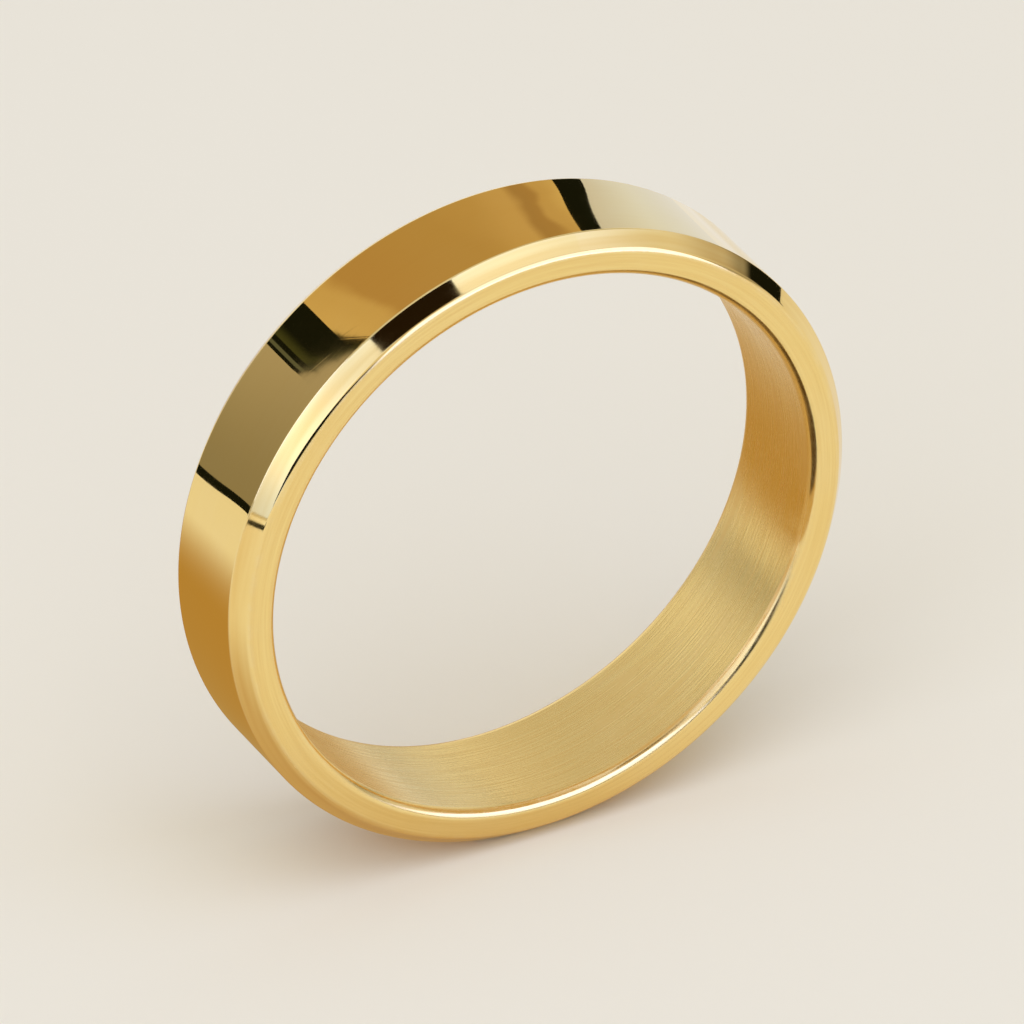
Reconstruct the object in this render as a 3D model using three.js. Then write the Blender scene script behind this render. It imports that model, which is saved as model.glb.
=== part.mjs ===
// A plain wedding band in yellow gold: one seamless ring with a flat outer face, a shallow
// bevel turned along each edge, two flat side faces and a straight bore with eased edges.
//
// Millimetres, +Z up. The ring stands upright with its axis along Y, its front side face
// looks along -Y, and the origin is the centre of the bore.

import * as THREE from 'three';

// The ring's own sizes
const BORE_DIAMETER = 18.95; // finger size 9 on the US scale
const WALL_THICKNESS = 1.4; // bore to outer face
const BAND_WIDTH = 4.5; // side face to side face

// The bevel along each outer edge
const BEVEL_WIDTH = 0.58; // along the ring's axis
const BEVEL_DEPTH = 0.45; // towards the ring's axis

// How far the polishing has rounded each edge
const FACE_EDGE_RADIUS = 0.1; // outer face to bevel
const SHOULDER_EDGE_RADIUS = 0.15; // bevel to side face
const BORE_EDGE_RADIUS = 0.35; // side face to bore

// How finely the round surfaces are faceted
const FACETS_ROUND_RING = 144;
const STEPS_ON_OUTER_EDGES = 2;
const STEPS_ON_BORE_EDGES = 4;

const boreRadius = BORE_DIAMETER / 2;
const outerRadius = boreRadius + WALL_THICKNESS;
const shoulderRadius = outerRadius - BEVEL_DEPTH;
const halfWidth = BAND_WIDTH / 2;
const halfFaceWidth = halfWidth - BEVEL_WIDTH;

const gold = new THREE.MeshStandardMaterial({ color: 0xe3b25a, roughness: 0.12, metalness: 1 });

// Rounds a corner of the profile with an arc that is tangent to both of its straight sides.
// Returns the arc's points, from the side of the previous corner to that of the next one.
function roundCorner(previous, corner, next, radius, steps) {
  const back = previous.clone().sub(corner).normalize();
  const ahead = next.clone().sub(corner).normalize();
  const halfAngle = Math.acos(back.dot(ahead)) / 2;
  const inward = back.clone().add(ahead).normalize();
  const centre = corner.clone().addScaledVector(inward, radius / Math.sin(halfAngle));

  const tangentLength = radius / Math.tan(halfAngle);
  const start = corner.clone().addScaledVector(back, tangentLength).sub(centre);
  const end = corner.clone().addScaledVector(ahead, tangentLength).sub(centre);
  const startAngle = start.angle();
  const turn = Math.atan2(start.cross(end), start.dot(end));

  return Array.from({ length: steps + 1 }, (_, step) => {
    const angle = startAngle + (turn * step) / steps;
    const offset = new THREE.Vector2(Math.cos(angle), Math.sin(angle));
    return centre.clone().addScaledVector(offset, radius);
  });
}

// The band's cross-section. x is the distance from the ring's axis and y lies along the axis.
// The corners run out along the front side face, across the outer face and back in.
function makeProfile() {
  const corner = (radius, along, edgeRadius, steps) => ({
    point: new THREE.Vector2(radius, along),
    edgeRadius,
    steps,
  });
  const corners = [
    corner(boreRadius, -halfWidth, BORE_EDGE_RADIUS, STEPS_ON_BORE_EDGES),
    corner(shoulderRadius, -halfWidth, SHOULDER_EDGE_RADIUS, STEPS_ON_OUTER_EDGES),
    corner(outerRadius, -halfFaceWidth, FACE_EDGE_RADIUS, STEPS_ON_OUTER_EDGES),
    corner(outerRadius, halfFaceWidth, FACE_EDGE_RADIUS, STEPS_ON_OUTER_EDGES),
    corner(shoulderRadius, halfWidth, SHOULDER_EDGE_RADIUS, STEPS_ON_OUTER_EDGES),
    corner(boreRadius, halfWidth, BORE_EDGE_RADIUS, STEPS_ON_BORE_EDGES),
  ];

  const profile = corners.flatMap(({ point, edgeRadius, steps }, i) => {
    const previous = corners.at(i - 1).point;
    const next = corners[(i + 1) % corners.length].point;
    return roundCorner(previous, point, next, edgeRadius, steps);
  });
  profile.push(profile[0].clone());
  return profile;
}

function makeBand() {
  const band = new THREE.Mesh(new THREE.LatheGeometry(makeProfile(), FACETS_ROUND_RING), gold);
  band.name = 'band';
  return band;
}

const weddingBand = new THREE.Group();
weddingBand.add(makeBand());

export default weddingBand;
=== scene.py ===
# A plain wedding band in yellow gold, standing upright on a pale table in soft studio light.
# The band is one hoop, so the whole object is one piece. Metres, +Z up, bore along Y.

import math

import bpy
from mathutils import Matrix, Vector


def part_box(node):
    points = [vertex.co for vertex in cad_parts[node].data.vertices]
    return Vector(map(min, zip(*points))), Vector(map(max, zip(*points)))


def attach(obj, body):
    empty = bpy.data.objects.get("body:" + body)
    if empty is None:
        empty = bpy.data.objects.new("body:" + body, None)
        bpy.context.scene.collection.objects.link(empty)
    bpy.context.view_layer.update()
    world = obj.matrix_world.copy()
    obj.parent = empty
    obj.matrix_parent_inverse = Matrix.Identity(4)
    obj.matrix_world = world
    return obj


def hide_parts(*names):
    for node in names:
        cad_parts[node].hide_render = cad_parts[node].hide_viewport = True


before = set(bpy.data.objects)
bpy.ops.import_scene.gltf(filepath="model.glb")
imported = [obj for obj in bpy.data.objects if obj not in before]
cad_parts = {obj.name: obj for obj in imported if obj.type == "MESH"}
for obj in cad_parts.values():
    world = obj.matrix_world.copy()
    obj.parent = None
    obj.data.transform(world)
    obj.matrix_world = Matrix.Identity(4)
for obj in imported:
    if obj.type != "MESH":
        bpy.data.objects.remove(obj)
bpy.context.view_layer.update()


# ---------------------------------------------------------------------------------------
# The band: one seamless hoop of 18 carat yellow gold. It is parted off gold tube, then its
# outside is turned flat, a bevel is cut along each outer edge, and the bore's edges are
# eased for comfort. Polishing leaves every edge slightly rounded.
# ---------------------------------------------------------------------------------------
MM = 0.001
CLOSE = 0.0002 * MM  # nearer points are one point, and the gold stays this far inside its box

band_low, band_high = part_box("band")
OUTER_RADIUS = band_high.z - CLOSE
HALF_WIDTH = band_high.y - CLOSE
WALL = 1.4 * MM
BEVEL_WIDTH = 0.58 * MM
BEVEL_DEPTH = 0.45 * MM

BORE_RADIUS = OUTER_RADIUS - WALL
SHOULDER_RADIUS = OUTER_RADIUS - BEVEL_DEPTH
HALF_FACE = HALF_WIDTH - BEVEL_WIDTH
BEVEL_SLOPE = math.atan2(BEVEL_DEPTH, BEVEL_WIDTH)

FACE_EDGE_ROUNDING = 0.1 * MM
SHOULDER_ROUNDING = 0.27 * MM
BORE_EDGE_ROUNDING = 0.35 * MM

STEPS_ROUND_BAND = 512
STEPS_ON_FACE_EDGE = 6
STEPS_ON_SHOULDER = 8
STEPS_ON_BORE_EDGE = 12
CUTS_ACROSS_FLATS = 3


def mark_points(band, wanted):
    """Selects the band's points that wanted(radius, along) is true for, and nothing else."""
    mesh = band.data
    for part in (*mesh.polygons, *mesh.edges):
        part.select = False
    for point in mesh.vertices:
        point.select = wanted(math.hypot(point.co.x, point.co.z), point.co.y)


def round_corner(band, radius, along, rounding, turn, steps):
    """Rounds one corner of the cross-section, where the outline turns by turn radians."""
    mark_points(band, lambda r, y: abs(r - radius) < CLOSE and abs(y - along) < CLOSE)
    bpy.ops.object.mode_set(mode="EDIT")
    bpy.ops.mesh.select_mode(type="VERT")
    bpy.ops.mesh.bevel(
        offset=rounding * math.tan(turn / 2), segments=steps, affect="VERTICES", profile=0.5
    )
    bpy.ops.object.mode_set(mode="OBJECT")


def divide_flat(band, wanted, cuts):
    """Divides one straight side of the outline evenly, so that the flat it makes stays flat."""
    mark_points(band, wanted)
    bpy.ops.object.mode_set(mode="EDIT")
    bpy.ops.mesh.select_mode(type="VERT")
    bpy.ops.mesh.select_mode(type="EDGE")
    bpy.ops.mesh.subdivide(number_cuts=cuts)
    bpy.ops.object.mode_set(mode="OBJECT")


def resize(piece, factor):
    """Enlarges or reduces a piece about the centre of the bore."""
    piece.scale = (factor, factor, factor)
    bpy.ops.object.transform_apply(location=False, rotation=False, scale=True)


# The blank section: the wall's thickness along X by the band's width along Y
bpy.ops.object.select_all(action="DESELECT")
bpy.ops.mesh.primitive_plane_add(size=1, location=(BORE_RADIUS + WALL / 2, 0, 0))
gold_band = bpy.context.object
gold_band.name = gold_band.data.name = "gold_band"
gold_band.scale = (WALL, 2 * HALF_WIDTH, 1)
bpy.ops.object.transform_apply(location=True, rotation=True, scale=True)

# Both bevels, cut off the outer corners
for side in (1, -1):
    bpy.ops.object.mode_set(mode="EDIT")
    bpy.ops.mesh.select_all(action="SELECT")
    bpy.ops.mesh.bisect(
        plane_co=(OUTER_RADIUS, side * HALF_FACE, 0),
        plane_no=(BEVEL_WIDTH, side * BEVEL_DEPTH, 0),
        clear_outer=True,
        threshold=CLOSE,
    )
    bpy.ops.object.mode_set(mode="OBJECT")

# The polished edges
corners = [
    (OUTER_RADIUS, HALF_FACE, FACE_EDGE_ROUNDING, BEVEL_SLOPE, STEPS_ON_FACE_EDGE),
    (SHOULDER_RADIUS, HALF_WIDTH, SHOULDER_ROUNDING, math.pi / 2 - BEVEL_SLOPE, STEPS_ON_SHOULDER),
    (BORE_RADIUS, HALF_WIDTH, BORE_EDGE_ROUNDING, math.pi / 2, STEPS_ON_BORE_EDGE),
]
for side in (1, -1):
    for radius, along, rounding, turn, steps in corners:
        round_corner(gold_band, radius, side * along, rounding, turn, steps)

# Only the outline is turned round the bore, so that the hoop is one skin with nothing inside
bpy.ops.object.mode_set(mode="EDIT")
bpy.ops.mesh.select_all(action="SELECT")
bpy.ops.mesh.delete(type="ONLY_FACE")
bpy.ops.object.mode_set(mode="OBJECT")

divide_flat(gold_band, lambda r, y: abs(r - OUTER_RADIUS) < CLOSE, CUTS_ACROSS_FLATS)
divide_flat(gold_band, lambda r, y: abs(r - BORE_RADIUS) < CLOSE, CUTS_ACROSS_FLATS)

bpy.ops.object.mode_set(mode="EDIT")
bpy.ops.mesh.select_all(action="SELECT")
bpy.ops.mesh.spin(
    steps=STEPS_ROUND_BAND, angle=2 * math.pi, center=(0, 0, 0), axis=(0, 1, 0), dupli=False
)
bpy.ops.mesh.select_all(action="SELECT")
bpy.ops.mesh.remove_doubles(threshold=2 * CLOSE)
bpy.ops.mesh.normals_make_consistent(inside=False)
bpy.ops.object.mode_set(mode="OBJECT")

# The flats are kept flat up to their edges. The band is enlarged for it and reduced again,
# because the modifier takes facets as small as these to have no area.
bpy.ops.object.shade_smooth()
resize(gold_band, 1 / MM)
flat_shading = gold_band.modifiers.new("keep flats flat", "WEIGHTED_NORMAL")
flat_shading.mode = "FACE_AREA"
flat_shading.weight = 50
flat_shading.thresh = 0
bpy.ops.object.modifier_apply(modifier=flat_shading.name)
resize(gold_band, MM)

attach(gold_band, "root")
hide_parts("band")

# The band's finishes. The outer face is buffed to a mirror, the bevels keep the fine marks of
# the turning tool under their polish, the side faces are lapped, and the bore is satin. All
# are the same gold, so they share its colour and the shapes of the marks on it.
GOLD = (1.0, 0.77, 0.315, 1)
GOLD_PALER = (1.0, 0.80, 0.39, 1)
# Painted shade: the darker gold that the turning lines are tinted towards, for the shade in the
# grooves
GOLD_PAINTED_GROOVE_SHADE = (0.86, 0.56, 0.17, 1)

# The marks that all the finishes have alike. Scratches run three ways, tilted by so many
# radians to the band's edges, and they are so many times longer than they are apart.
HAZE_PATCH_MM = 3.5
HAZE_PALENESS = 0.35
RUB_ROUGHNESS = 0.06
WAVES_DRAWN_OUT = 1.6
SCRATCH_TILTS_AND_MM_APART = ((0.2, 0.32), (-0.35, 0.43), (0.9, 0.47))
SCRATCH_LENGTH = 35.0
SCRATCHES_KEPT = 0.3
SCRATCH_ROUGHNESS = 0.02


def new_group(name, inputs, outputs):
    """An empty shader node group with number inputs {name: default} and number outputs."""
    group = bpy.data.node_groups.new(name, "ShaderNodeTree")
    for socket, default in inputs.items():
        made = group.interface.new_socket(socket, in_out="INPUT", socket_type="NodeSocketFloat")
        made.default_value = default
    for socket in outputs:
        group.interface.new_socket(socket, in_out="OUTPUT", socket_type="NodeSocketFloat")
    return group, group.nodes.new("NodeGroupInput"), group.nodes.new("NodeGroupOutput")


def feed(tree, node, values):
    """Sets or links a node's inputs. A value that is a socket is linked, any other is set."""
    for key, value in values.items():
        if isinstance(value, bpy.types.NodeSocket):
            tree.links.new(value, node.inputs[key])
        else:
            node.inputs[key].default_value = value


def maths(tree, operation, *values, clamp=False):
    """A Math node on numbers and sockets. Returns its output."""
    node = tree.nodes.new("ShaderNodeMath")
    node.operation = operation
    node.use_clamp = clamp
    feed(tree, node, dict(enumerate(values)))
    return node.outputs[0]


def vector_of(tree, x, y, z):
    """Three numbers or sockets as one vector."""
    node = tree.nodes.new("ShaderNodeCombineXYZ")
    feed(tree, node, {"X": x, "Y": y, "Z": z})
    return node.outputs[0]


def ramp_between(tree, value, low, high, to_low=0.0, to_high=1.0):
    """Value eased from to_low to to_high as it goes from low to high."""
    node = tree.nodes.new("ShaderNodeMapRange")
    node.interpolation_type = "SMOOTHSTEP"
    feed(
        tree,
        node,
        {"Value": value, "From Min": low, "From Max": high, "To Min": to_low, "To Max": to_high},
    )
    return node.outputs[0]


def place_on_band(tree):
    """Radius and place along the bore, in millimetres, and the way round's cosine and sine."""
    place = tree.nodes.new("ShaderNodeTexCoord").outputs["Object"]
    split = tree.nodes.new("ShaderNodeSeparateXYZ")
    feed(tree, split, {0: place})
    x = maths(tree, "MULTIPLY", split.outputs["X"], 1 / MM)
    along = maths(tree, "MULTIPLY", split.outputs["Y"], 1 / MM)
    z = maths(tree, "MULTIPLY", split.outputs["Z"], 1 / MM)
    squares = maths(tree, "ADD", maths(tree, "MULTIPLY", x, x), maths(tree, "MULTIPLY", z, z))
    radius = maths(tree, "SQRT", squares)
    return radius, along, maths(tree, "DIVIDE", x, radius), maths(tree, "DIVIDE", z, radius)


def make_turning_lines():
    """Fine grooves that a turning tool or a lap leaves, running round the band."""
    tree, given, gives = new_group(
        "turning lines",
        {"Across width": 1, "Across radius": 0, "Spacing mm": 0.1, "Breaks": 1.5},
        ["Lines"],
    )
    radius, along, cosine, sine = place_on_band(tree)
    across = maths(
        tree,
        "ADD",
        maths(tree, "MULTIPLY", along, given.outputs["Across width"]),
        maths(tree, "MULTIPLY", radius, given.outputs["Across radius"]),
    )
    step = maths(tree, "DIVIDE", across, given.outputs["Spacing mm"])
    noise = tree.nodes.new("ShaderNodeTexNoise")
    breaks = given.outputs["Breaks"]
    place = vector_of(
        tree, maths(tree, "MULTIPLY", cosine, breaks), step, maths(tree, "MULTIPLY", sine, breaks)
    )
    feed(tree, noise, {"Vector": place, "Scale": 1.0, "Detail": 2.0, "Roughness": 0.6})
    feed(tree, gives, {"Lines": ramp_between(tree, noise.outputs[0], 0.25, 0.75)})
    return tree


def make_handling_scratches():
    """Sparse hairlines that wearing and wiping leave, drawn on the band as if unrolled."""
    tree, given, gives = new_group(
        "handling scratches",
        {"Tilt": 0.5, "Apart mm": 0.5, "Length": 30.0, "Kept": 0.5},
        ["Scratches"],
    )
    radius, along, cosine, sine = place_on_band(tree)
    from_top = maths(tree, "ARCTAN2", cosine, sine)
    around = maths(tree, "MULTIPLY", from_top, OUTER_RADIUS / MM)
    across = maths(tree, "ADD", along, radius)
    unrolled = tree.nodes.new("ShaderNodeVectorRotate")
    unrolled.rotation_type = "Z_AXIS"
    place = vector_of(tree, around, across, 0.0)
    feed(tree, unrolled, {"Vector": place, "Angle": given.outputs["Tilt"]})
    split = tree.nodes.new("ShaderNodeSeparateXYZ")
    feed(tree, split, {0: unrolled.outputs[0]})
    apart = given.outputs["Apart mm"]
    length = maths(tree, "MULTIPLY", apart, given.outputs["Length"])
    lengthwise = maths(tree, "DIVIDE", split.outputs["X"], length)
    sideways = maths(tree, "DIVIDE", split.outputs["Y"], apart)
    cells = tree.nodes.new("ShaderNodeTexVoronoi")
    cells.voronoi_dimensions = "2D"
    cells.feature = "F1"
    place = vector_of(tree, lengthwise, sideways, 0.0)
    feed(tree, cells, {"Vector": place, "Scale": 1.0, "Randomness": 1.0})
    streak = ramp_between(tree, cells.outputs["Distance"], 0.01, 0.07, 1.0, 0.0)
    chance = tree.nodes.new("ShaderNodeSeparateColor")
    feed(tree, chance, {0: cells.outputs["Color"]})
    kept = maths(tree, "LESS_THAN", chance.outputs[0], given.outputs["Kept"])
    depth = ramp_between(tree, chance.outputs[1], 0.0, 1.0, 0.2, 1.0)
    scratch = maths(tree, "MULTIPLY", maths(tree, "MULTIPLY", streak, kept), depth)
    feed(tree, gives, {"Scratches": scratch})
    return tree


def make_polish_waves():
    """Slow unevenness that hand polishing leaves in a surface, drawn out round the band."""
    tree, given, gives = new_group("polish waves", {"Wave mm": 3.0, "Drawn out": 1.5}, ["Waves"])
    radius, along, cosine, sine = place_on_band(tree)
    around = maths(
        tree,
        "DIVIDE",
        OUTER_RADIUS / MM,
        maths(tree, "MULTIPLY", given.outputs["Wave mm"], given.outputs["Drawn out"]),
    )
    across = maths(
        tree, "DIVIDE", maths(tree, "ADD", along, radius), given.outputs["Wave mm"]
    )
    place = vector_of(
        tree, maths(tree, "MULTIPLY", cosine, around), across, maths(tree, "MULTIPLY", sine, around)
    )
    noise = tree.nodes.new("ShaderNodeTexNoise")
    feed(tree, noise, {"Vector": place, "Scale": 1.0, "Detail": 1.0, "Roughness": 0.4})
    feed(tree, gives, {"Waves": noise.outputs[0]})
    return tree


def make_edge_rub():
    """How rubbed the metal is near one edge of the section, broken up along the edge."""
    tree, given, gives = new_group(
        "edge rub", {"Edge radius mm": 10.0, "Edge along mm": 2.0, "Reach mm": 0.15}, ["Rub"]
    )
    radius, along, cosine, sine = place_on_band(tree)
    off_radius = maths(tree, "SUBTRACT", radius, given.outputs["Edge radius mm"])
    off_along = maths(
        tree, "SUBTRACT", maths(tree, "ABSOLUTE", along), given.outputs["Edge along mm"]
    )
    squares = maths(
        tree,
        "ADD",
        maths(tree, "MULTIPLY", off_radius, off_radius),
        maths(tree, "MULTIPLY", off_along, off_along),
    )
    distance = maths(tree, "SQRT", squares)
    near = ramp_between(tree, distance, 0.0, given.outputs["Reach mm"], 1.0, 0.0)
    noise = tree.nodes.new("ShaderNodeTexNoise")
    place = vector_of(
        tree,
        maths(tree, "MULTIPLY", cosine, 30.0),
        maths(tree, "MULTIPLY", along, 6.0),
        maths(tree, "MULTIPLY", sine, 30.0),
    )
    feed(tree, noise, {"Vector": place, "Scale": 1.0, "Detail": 3.0, "Roughness": 0.6})
    broken = ramp_between(tree, noise.outputs[0], 0.35, 0.65, 0.25, 1.0)
    feed(tree, gives, {"Rub": maths(tree, "MULTIPLY", near, broken)})
    return tree


def make_touched_haze():
    """Faint haze where the metal has been touched: low, cloudy patches."""
    tree, given, gives = new_group("touched haze", {"Patch mm": 4.0}, ["Haze"])
    place = tree.nodes.new("ShaderNodeTexCoord").outputs["Object"]
    noise = tree.nodes.new("ShaderNodeTexNoise")
    per_mm = maths(tree, "DIVIDE", 1 / MM, given.outputs["Patch mm"])
    feed(tree, noise, {"Vector": place, "Scale": per_mm, "Detail": 4.0, "Roughness": 0.55})
    feed(tree, gives, {"Haze": ramp_between(tree, noise.outputs[0], 0.38, 0.72)})
    return tree


TURNING_LINES = make_turning_lines()
HANDLING_SCRATCHES = make_handling_scratches()
POLISH_WAVES = make_polish_waves()
EDGE_RUB = make_edge_rub()
TOUCHED_HAZE = make_touched_haze()


def marks(tree, group, values):
    """Places one of the shared groups with its own values, and returns its only output."""
    node = tree.nodes.new("ShaderNodeGroup")
    node.node_tree = group
    feed(tree, node, values)
    return node.outputs[0]


def gold_finish(
    name, across, spacing, breaks, line_depth, line_roughness,
    painted_line_shade, roughness, haze_roughness, wave_height, wave_mm, scratch_depth, edges,
):
    """One finish of the band's gold. Depths and heights are in millimetres. Along the turning lines
    the gold is tinted darker with painted shade.
    """
    finish = bpy.data.materials.new(name)
    finish.use_nodes = True
    tree = finish.node_tree
    shader = tree.nodes["Principled BSDF"]
    shader.inputs["Metallic"].default_value = 1.0

    across_width, across_radius = across
    line_values = {
        "Across width": across_width, "Across radius": across_radius,
        "Spacing mm": spacing, "Breaks": breaks,
    }
    lines = marks(tree, TURNING_LINES, line_values)
    haze = marks(tree, TOUCHED_HAZE, {"Patch mm": HAZE_PATCH_MM})
    waves = marks(tree, POLISH_WAVES, {"Wave mm": wave_mm, "Drawn out": WAVES_DRAWN_OUT})
    scratches = 0.0
    for tilt, apart in SCRATCH_TILTS_AND_MM_APART:
        scratch_values = {
            "Tilt": tilt, "Apart mm": apart, "Length": SCRATCH_LENGTH, "Kept": SCRATCHES_KEPT,
        }
        one_way = marks(tree, HANDLING_SCRATCHES, scratch_values)
        scratches = maths(tree, "MAXIMUM", scratches, one_way)
    rub = 0.0
    for edge_radius, edge_along, reach_mm in edges:
        edge_values = {
            "Edge radius mm": edge_radius / MM, "Edge along mm": edge_along / MM,
            "Reach mm": reach_mm,
        }
        rub = maths(tree, "MAXIMUM", rub, marks(tree, EDGE_RUB, edge_values))

    tint = tree.nodes.new("ShaderNodeMix")
    tint.data_type = "RGBA"
    paler = maths(tree, "MAXIMUM", maths(tree, "MULTIPLY", haze, HAZE_PALENESS), rub)
    tree.links.new(paler, tint.inputs["Factor"])
    tint.inputs["A"].default_value = GOLD
    tint.inputs["B"].default_value = GOLD_PALER
    # Painted shade: the gold is tinted darker along the turning lines, as if the grooves shaded
    # themselves
    shaded_gold = tree.nodes.new("ShaderNodeMix")
    shaded_gold.data_type = "RGBA"
    tree.links.new(maths(tree, "MULTIPLY", lines, painted_line_shade), shaded_gold.inputs["Factor"])
    tree.links.new(tint.outputs["Result"], shaded_gold.inputs["A"])
    shaded_gold.inputs["B"].default_value = GOLD_PAINTED_GROOVE_SHADE
    tree.links.new(shaded_gold.outputs["Result"], shader.inputs["Base Color"])

    rough = maths(tree, "ADD", roughness, maths(tree, "MULTIPLY", lines, line_roughness))
    rough = maths(tree, "ADD", rough, maths(tree, "MULTIPLY", haze, haze_roughness))
    rough = maths(tree, "ADD", rough, maths(tree, "MULTIPLY", scratches, SCRATCH_ROUGHNESS))
    rough = maths(tree, "ADD", rough, maths(tree, "MULTIPLY", rub, RUB_ROUGHNESS), clamp=True)
    tree.links.new(rough, shader.inputs["Roughness"])

    height = maths(tree, "MULTIPLY", lines, line_depth)
    height = maths(tree, "ADD", height, maths(tree, "MULTIPLY", waves, wave_height))
    height = maths(tree, "SUBTRACT", height, maths(tree, "MULTIPLY", scratches, scratch_depth))
    relief = tree.nodes.new("ShaderNodeBump")
    feed(tree, relief, {"Strength": 1.0, "Distance": MM, "Height": height})
    tree.links.new(relief.outputs["Normal"], shader.inputs["Normal"])
    return finish


# The edges that rub: radius, place along the bore, and how many millimetres the rub reaches
face_edge = (OUTER_RADIUS, HALF_FACE, 0.12)
shoulder_edge = (SHOULDER_RADIUS, HALF_WIDTH, 0.2)
bore_edge = (BORE_RADIUS, HALF_WIDTH, 0.4)

mirror_face = gold_finish(
    "mirror polished outer face", across=(1, 0), spacing=0.09, breaks=2.0,
    line_depth=0.000015, line_roughness=0.006, painted_line_shade=0.05, roughness=0.012, haze_roughness=0.02,
    wave_height=0.004, wave_mm=3.5, scratch_depth=0.00005, edges=[face_edge],
)
turned_bevel = gold_finish(
    "polished turned bevel", across=(1, -1), spacing=0.09, breaks=1.2,
    line_depth=0.0006, line_roughness=0.035, painted_line_shade=0.8, roughness=0.02, haze_roughness=0.02,
    wave_height=0.003, wave_mm=3.0, scratch_depth=0.00015, edges=[face_edge, shoulder_edge],
)
lapped_side = gold_finish(
    "lapped side face", across=(0, 1), spacing=0.08, breaks=2.5,
    line_depth=0.0012, line_roughness=0.08, painted_line_shade=0.42, roughness=0.12, haze_roughness=0.05,
    wave_height=0.003, wave_mm=3.0, scratch_depth=0.00015, edges=[shoulder_edge, bore_edge],
)
satin_bore = gold_finish(
    "satin bore", across=(1, 0), spacing=0.07, breaks=3.0,
    line_depth=0.0020, line_roughness=0.10, painted_line_shade=0.40, roughness=0.2, haze_roughness=0.07,
    wave_height=0.003, wave_mm=3.0, scratch_depth=0.00015, edges=[bore_edge],
)

finishes = [mirror_face, turned_bevel, lapped_side, satin_bore]
for finish in finishes:
    gold_band.data.materials.append(finish)

# Each facet takes the finish of the surface that it belongs to, by how far it is turned from
# facing straight outwards. An edge's rounding is shared between the finishes on its two sides.
BEVEL_FROM = BEVEL_SLOPE / 2
SIDE_FROM = (BEVEL_SLOPE + math.pi / 2) / 2
BORE_FROM = math.pi * 5 / 6

for facet in gold_band.data.polygons:
    radius = math.hypot(facet.center.x, facet.center.z)
    outward = (facet.center.x * facet.normal.x + facet.center.z * facet.normal.z) / radius
    turned = math.atan2(abs(facet.normal.y), outward)
    if turned < BEVEL_FROM:
        facet.material_index = finishes.index(mirror_face)
    elif turned < SIDE_FROM:
        facet.material_index = finishes.index(turned_bevel)
    elif turned < BORE_FROM:
        facet.material_index = finishes.index(lapped_side)
    else:
        facet.material_index = finishes.index(satin_bore)


# ---------------------------------------------------------------------------------------
# The camera: a long lens, a little above the band and to its left.
# ---------------------------------------------------------------------------------------
CAMERA_AZIMUTH = -28.5
CAMERA_ELEVATION = 32.9
CAMERA_DISTANCE = 0.55
LENS_MM = 620


def direction(azimuth, elevation):
    """A direction from the band. Azimuth 0 is the front, 90 the right and 180 the back."""
    round_band = math.radians(azimuth)
    up = math.radians(elevation)
    out = math.cos(up)
    return Vector((math.sin(round_band) * out, -math.cos(round_band) * out, math.sin(up)))


towards_camera = direction(CAMERA_AZIMUTH, CAMERA_ELEVATION)
bpy.ops.object.camera_add(location=(band_low + band_high) / 2 + towards_camera * CAMERA_DISTANCE)
camera = bpy.context.object
camera.rotation_euler = towards_camera.to_track_quat("Z", "Y").to_euler()
camera.data.lens = LENS_MM
camera.data.clip_start = 0.01
camera.data.clip_end = 5
bpy.context.scene.camera = camera


# ---------------------------------------------------------------------------------------
# The table: a plain ivory floor that the band stands on.
# ---------------------------------------------------------------------------------------
IVORY = (0.84, 0.79, 0.66, 1)
FLOOR_RADIUS = 3.0

bpy.ops.mesh.primitive_circle_add(
    vertices=128, radius=FLOOR_RADIUS, fill_type="NGON", location=(0, 0, band_low.z)
)
floor = bpy.context.object
floor.name = "floor"
floor_finish = bpy.data.materials.new("ivory table")
floor_finish.use_nodes = True
floor_shader = floor_finish.node_tree.nodes["Principled BSDF"]
floor_shader.inputs["Base Color"].default_value = IVORY
floor_shader.inputs["Roughness"].default_value = 0.85
floor_shader.inputs["Specular IOR Level"].default_value = 0.2
floor.data.materials.append(floor_finish)


# ---------------------------------------------------------------------------------------
# The studio lights: a wide soft box on the left of the camera, one overhead to the right,
# and a warm white room round them. The boxes are as blue as the sky, which gold mirrors as
# a pale tone with a little green in it.
# ---------------------------------------------------------------------------------------
WARM_WHITE = (1.0, 0.97, 0.92, 1)
FAR_WALL = (0.63, 0.59, 0.475, 1)
SKYLIGHT = (0.75, 1.0, 1.85)
TABLE_LIGHT = (1.0, 0.98, 0.93)


def soft_box(name, azimuth, elevation, distance, width, height, brightness):
    """A soft box that looks evenly bright, and at brightness 1 as bright as plain white."""
    bpy.ops.object.light_add(type="AREA", location=direction(azimuth, elevation) * distance)
    box = bpy.context.object
    box.name = name
    box.rotation_euler = direction(azimuth, elevation).to_track_quat("Z", "Y").to_euler()
    box.data.shape = "RECTANGLE"
    box.data.size = width
    box.data.size_y = height
    box.data.energy = brightness * math.pi * width * height
    box.data.color = SKYLIGHT
    box.visible_camera = False


soft_box(
    "left soft box", azimuth=-62, elevation=26, distance=0.7,
    width=0.8, height=0.68, brightness=0.57,
)
soft_box(
    "overhead soft box", azimuth=34, elevation=62, distance=0.8,
    width=0.62, height=0.62, brightness=0.53,
)

# A wide light that the gold doesn't mirror, so that the band keeps its clear dark and light
# shapes. It falls on the table.
soft_box(
    "table light", azimuth=-35, elevation=62, distance=1.0,
    width=0.9, height=0.9, brightness=1.22,
)
bpy.context.object.data.color = TABLE_LIGHT
bpy.context.object.visible_glossy = False

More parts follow.
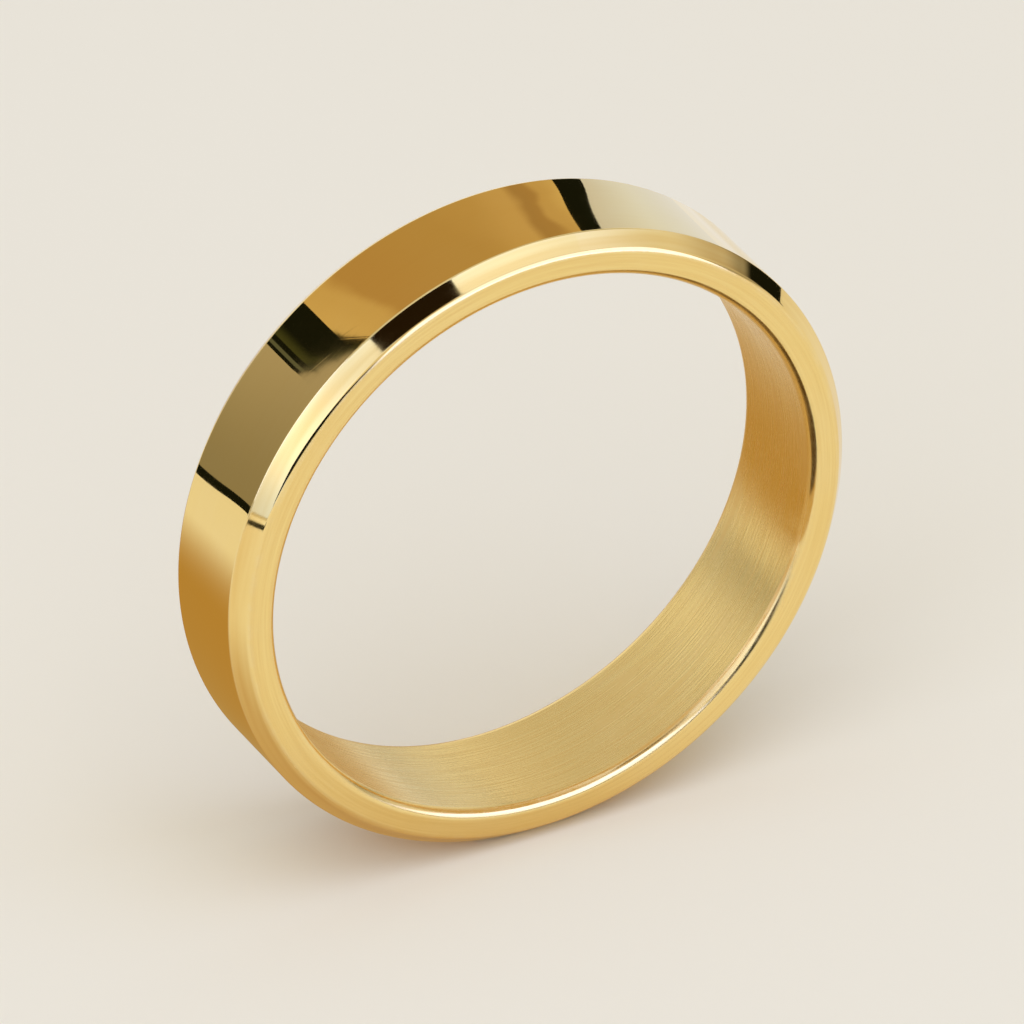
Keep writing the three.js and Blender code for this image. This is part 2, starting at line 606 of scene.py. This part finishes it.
# The room: its wall is dim at the floor, bright above it and dimmer higher up, and its ceiling
# is a little brighter again. Where the camera looks past the table it sees an even far wall.
world = bpy.data.worlds.new("studio room")
bpy.context.scene.world = world
world.use_nodes = True
room = world.node_tree
room.nodes.clear()
way = room.nodes.new("ShaderNodeSeparateXYZ")
feed(room, way, {0: room.nodes.new("ShaderNodeTexCoord").outputs["Generated"]})
low_wall = ramp_between(room, way.outputs["Z"], 0.0, 0.35, to_low=0.38, to_high=0.82)
high_wall = ramp_between(room, way.outputs["Z"], 0.38, 0.70, to_low=0.0, to_high=-0.26)
ceiling = ramp_between(room, way.outputs["Z"], 0.70, 0.97, to_low=0.0, to_high=0.14)
wall_brightness = maths(room, "ADD", maths(room, "ADD", low_wall, high_wall), ceiling)
lit = room.nodes.new("ShaderNodeBackground")
feed(room, lit, {"Color": WARM_WHITE, "Strength": wall_brightness})
seen = room.nodes.new("ShaderNodeBackground")
feed(room, seen, {"Color": FAR_WALL, "Strength": 1.0})
rays = room.nodes.new("ShaderNodeLightPath")
either = room.nodes.new("ShaderNodeMixShader")
feed(room, either, {0: rays.outputs["Is Camera Ray"], 1: lit.outputs[0], 2: seen.outputs[0]})
feed(room, room.nodes.new("ShaderNodeOutputWorld"), {0: either.outputs[0]})

bpy.context.scene.view_settings.view_transform = "Standard"


# ---------------------------------------------------------------------------------------
# The reflection cards: small cards that only the gold mirrors. They stand where the open
# lid and the lining round a kept ring would be, and draw the dark and warm shapes in it.
# ---------------------------------------------------------------------------------------
LACQUER = (0.008, 0.009, 0.005, 1)

# Where the cards behind the band stand along Y, and how far past the edges of the outer face
# they would reach in its mirror
CARDS_BEHIND = 0.06
FACE_WIDTHS_BEYOND = 1.2


def even(colour):
    """The tones of a card that is one colour all over."""
    return [(0.0, colour), (1.0, colour)]


def card_tone(card, tones, fade=None, waviness=0.0):
    """Gives a card its tones, as pairs of a place from 0 to 1 along it and a colour, in order.

    It glows in them and casts no light. Fade is the part of the way from its middle to its
    edge over which it turns clear, and waviness is how far soft folds shift its tones.
    """
    tone = bpy.data.materials.new(card.name)
    tone.use_nodes = True
    tone.cycles.emission_sampling = "NONE"
    tree = tone.node_tree
    tree.nodes.clear()
    uv = tree.nodes.new("ShaderNodeTexCoord").outputs["UV"]
    place = tree.nodes.new("ShaderNodeSeparateXYZ")
    feed(tree, place, {0: uv})
    folds = tree.nodes.new("ShaderNodeTexNoise")
    feed(tree, folds, {"Vector": uv, "Scale": 4.0})
    shift = maths(tree, "MULTIPLY", maths(tree, "SUBTRACT", folds.outputs[0], 0.5), waviness)
    grade = tree.nodes.new("ShaderNodeValToRGB")
    feed(tree, grade, {0: maths(tree, "ADD", place.outputs["X"], shift)})
    grade.color_ramp.interpolation = "EASE"
    stops = grade.color_ramp.elements
    first, *between, last = tones
    stops[0].position, stops[0].color = first
    stops[1].position, stops[1].color = last
    for at, colour in between:
        stops.new(at).color = colour
    glow = tree.nodes.new("ShaderNodeEmission")
    feed(tree, glow, {"Color": grade.outputs[0]})
    surface = glow.outputs[0]
    if fade:
        from_middle = tree.nodes.new("ShaderNodeVectorMath")
        from_middle.operation = "DISTANCE"
        feed(tree, from_middle, {0: uv, 1: (0.5, 0.5, 0.0)})
        clear = ramp_between(tree, from_middle.outputs["Value"], 0.5 * (1 - fade), 0.5)
        faded = tree.nodes.new("ShaderNodeMixShader")
        nothing = tree.nodes.new("ShaderNodeBsdfTransparent").outputs[0]
        feed(tree, faded, {0: clear, 1: surface, 2: nothing})
        surface = faded.outputs[0]
    feed(tree, tree.nodes.new("ShaderNodeOutputMaterial"), {0: surface})
    card.data.materials.append(tone)
    card.visible_camera = False
    card.visible_diffuse = False
    card.visible_shadow = False
    card.visible_transmission = False


def card_across(name, start, end, breadth, distance, tones):
    """A straight card facing the band, from one (azimuth, elevation) to another.

    Breadth is in degrees too, and distance is how far from the band it stands.
    """
    first, last = direction(*start), direction(*end)
    middle = (first + last).normalized()
    length = 2 * math.tan(first.angle(last) / 2) * distance
    width = 2 * math.tan(math.radians(breadth) / 2) * distance
    along = (last - first).normalized()
    turn = Matrix((along, middle.cross(along), middle)).transposed().to_4x4()
    bpy.ops.mesh.primitive_plane_add(size=1, location=(0, 0, 0))
    made = bpy.context.object
    made.name = name
    made.data.transform(Matrix.Diagonal((length, width, 1, 1)))
    made.data.transform(Matrix.Translation(middle * distance) @ turn)
    card_tone(made, tones)


def card_in_outer_face(
    name, rear, front, tones, behind=CARDS_BEHIND, waviness=0.0, bend=(0.0, 1.0)
):
    """A card behind the band, cut so that the outer face mirrors it between two angles.

    Angles are degrees round the band from its right side over the top. Rear and front are
    the pairs at the face's two edges. The card's ends curve from one to the other over the
    part of the face's width that bend gives, with 0 at the rear edge and 1 at the front one.
    Behind is the card's place along Y.
    """
    bpy.ops.mesh.primitive_grid_add(x_subdivisions=32, y_subdivisions=24, size=2)
    made = bpy.context.object
    made.name = name
    for point in made.data.vertices:
        from_start = (point.co.x + 1) / 2
        across = 0.5 + point.co.y * (0.5 + FACE_WIDTHS_BEYOND)
        eased = min(max((across - bend[0]) / (bend[1] - bend[0]), 0), 1)
        eased = eased * eased * (3 - 2 * eased)
        starts = rear[0] + (front[0] - rear[0]) * eased
        ends = rear[1] + (front[1] - rear[1]) * eased
        angle = math.radians(starts + (ends - starts) * from_start)
        normal = Vector((math.cos(angle), 0, math.sin(angle)))
        on_face = normal * OUTER_RADIUS
        on_face.y = HALF_FACE * (1 - 2 * across)
        sight = (camera.location - on_face).normalized()
        mirrored = 2 * normal.dot(sight) * normal - sight
        point.co = on_face + mirrored * ((behind - on_face.y) / mirrored.y)
    card_tone(made, tones, waviness=waviness)


def card_lying(name, left, right, front, back, height, colour, fade=None):
    """A level card of one colour, between two places along X and two along Y."""
    bpy.ops.mesh.primitive_plane_add(size=1)
    made = bpy.context.object
    made.name = name
    made.scale = (right - left, back - front, 1)
    made.location = ((left + right) / 2, (front + back) / 2, height)
    bpy.ops.object.transform_apply(location=True, rotation=True, scale=True)
    card_tone(made, even(colour), fade=fade)


# The lid behind the band, from its hinge up: the gap at the hinge, the lining in painted shade, the
# lacquered rim with a shine along it, the lining again in warm painted shade, and the rim on its
# far side. The rims stand just in front of the linings, and the shine just in front of the rim.
# Painted shade: the lining in shade, darker at the hinge and paler up the lid
LINING_SHADE_LOW = (0.27, 0.235, 0.17, 1)
LINING_SHADE_HIGH = (0.40, 0.35, 0.29, 1)
RIM_SHINE = (0.10, 0.11, 0.085, 1)
RIM_GREEN = (0.05, 0.055, 0.02, 1)
NEAR_RIM = CARDS_BEHIND - 0.5 * MM
ON_RIM = CARDS_BEHIND - 1 * MM
RIM_BEND = (0.6, 1.15)
FAR_RIM_BEND = (-0.25, 1.25)
# Painted shade: the lid's lining in warm shade, with a darker band just before its far rim
WARM_LINING_SHADE = [
    (0.0, (0.60, 0.44, 0.22, 1)),
    (0.14, (0.56, 0.40, 0.19, 1)),
    (0.20, (0.44, 0.28, 0.115, 1)),
    (0.55, (0.45, 0.30, 0.125, 1)),
    (0.79, (0.53, 0.37, 0.175, 1)),
    (0.845, (0.37, 0.235, 0.10, 1)),
    (0.875, (0.38, 0.24, 0.10, 1)),
    (0.91, (0.52, 0.36, 0.16, 1)),
    (1.0, (0.62, 0.46, 0.22, 1)),
]

card_in_outer_face(
    "lid hinge gap", rear=(160.2, 158.6), front=(158.6, 157.2), tones=even(LACQUER)
)
card_in_outer_face(
    "lid lining shade", rear=(158.6, 133.0), front=(157.2, 125.2),
    tones=[(0.0, LINING_SHADE_LOW), (1.0, LINING_SHADE_HIGH)],
)
card_in_outer_face(
    "lid rim", rear=(135.3, 126.3), front=(125.5, 122.6), tones=even(LACQUER),
    behind=NEAR_RIM, bend=RIM_BEND,
)
card_in_outer_face(
    "rim shine", rear=(134.7, 134.1), front=(125.2, 124.9), tones=even(RIM_SHINE),
    behind=ON_RIM, bend=RIM_BEND,
)
card_in_outer_face(
    "rim green", rear=(133.2, 131.0), front=(124.8, 123.8),
    tones=[(0.0, RIM_GREEN), (1.0, LACQUER)], behind=ON_RIM, bend=RIM_BEND,
)
card_in_outer_face(
    "warm lining shade", rear=(131.0, 76.8), front=(125.2, 80.2), tones=WARM_LINING_SHADE, waviness=0.16
)
card_in_outer_face(
    "far rim", rear=(77.6, 72.0), front=(82.2, 78.6), tones=even(LACQUER),
    behind=NEAR_RIM, bend=FAR_RIM_BEND,
)

# The pale room beyond the lid, down to the table
PALE_NEAR = (0.60, 0.62, 0.76, 1)
PALE_FAR = (0.72, 0.79, 1.0, 1)
PALE_TABLE = (0.84, 0.87, 0.98, 1)

card_in_outer_face(
    "pale room", rear=(75.0, 40), front=(79.4, 40),
    tones=[(0.0, PALE_NEAR), (0.35, PALE_FAR), (1.0, PALE_TABLE)],
)

# What the front bevel and its edges mirror: dark things round the camera, a dark horizon on
# the left, and on the right a wall that is dark at its foot and pale at its top
BROWN_BLACK = (0.014, 0.008, 0.003, 1)
RIGHT_WALL = [
    (0.0, LACQUER),
    (0.20, LACQUER),
    (0.25, (0.30, 0.28, 0.25, 1)),
    (0.36, (0.56, 0.52, 0.48, 1)),
    (0.60, (0.80, 0.82, 0.90, 1)),
    (1.0, (1.0, 1.12, 1.65, 1)),
]

card_across(
    "camera flag", start=(-42.5, 49.5), end=(-4.0, 66.0), breadth=16, distance=0.5,
    tones=even(BROWN_BLACK),
)
card_across(
    "front edge", start=(-60, 8), end=(6, 8), breadth=15, distance=0.5, tones=even(LACQUER)
)
card_across(
    "left horizon", start=(-78, -1.4), end=(-60, -1.4), breadth=1.4, distance=0.15,
    tones=even(LACQUER),
)
card_across(
    "right wall", start=(100, -3.5), end=(62, 52), breadth=26, distance=0.15, tones=RIGHT_WALL
)

# Two windows and a white wall. Seen from the camera, the gold mirrors them mostly in its
# rounded edges: the front window as the white line along the shoulder, the others as hairlines.
WINDOW = (1.5, 1.7, 3.0, 1)
WHITE_WALL = (1.0, 1.0, 1.0, 1)

card_across(
    "front window", start=(-10, 22), end=(60, 16), breadth=38, distance=0.14, tones=even(WINDOW)
)
card_across(
    "left window", start=(-102, 4), end=(-108, 50), breadth=14, distance=0.5, tones=even(WINDOW)
)
card_across(
    "back wall", start=(150, 6), end=(192, 6), breadth=15, distance=0.5, tones=even(WHITE_WALL)
)

# Shaded lining on the table round the band, mirrored in its left foot and in the bore, and a
# pale sheet behind it on the right, mirrored where the outer face falls away
FOOT_BROWN = (0.46, 0.275, 0.076, 1)
JUST_OVER_TABLE = band_low.z + 0.2 * MM

card_lying(
    "foot shade", left=-41 * MM, right=21 * MM, front=-15 * MM, back=47 * MM,
    height=JUST_OVER_TABLE, colour=FOOT_BROWN, fade=0.72,
)
card_lying(
    "pale sheet", left=22 * MM, right=100 * MM, front=22 * MM, back=100 * MM,
    height=JUST_OVER_TABLE, colour=PALE_TABLE, fade=0.4,
)

# The cushion's slot, low in the band's opening and in front of it, as painted shade: a brown card
# for the shaded slot and a dark one for its deepest shade. Seen from the camera, only the eased
# edge of the bore mirrors it: brown all along it, and dark on the right.
SLOT_SHADE_BROWN = (0.55, 0.37, 0.16, 1)
SLOT_DARK = (0.07, 0.038, 0.012, 1)

# Painted shade: the shaded slot, in brown
card_lying(
    "slot shade", left=2.5 * MM, right=7.6 * MM, front=-8 * MM, back=0.5 * MM,
    height=-3 * MM, colour=SLOT_SHADE_BROWN,
)
card_lying(
    "slot shadow", left=6.3 * MM, right=8.5 * MM, front=-6 * MM, back=-2.3 * MM,
    height=-1.5 * MM, colour=SLOT_DARK,
)
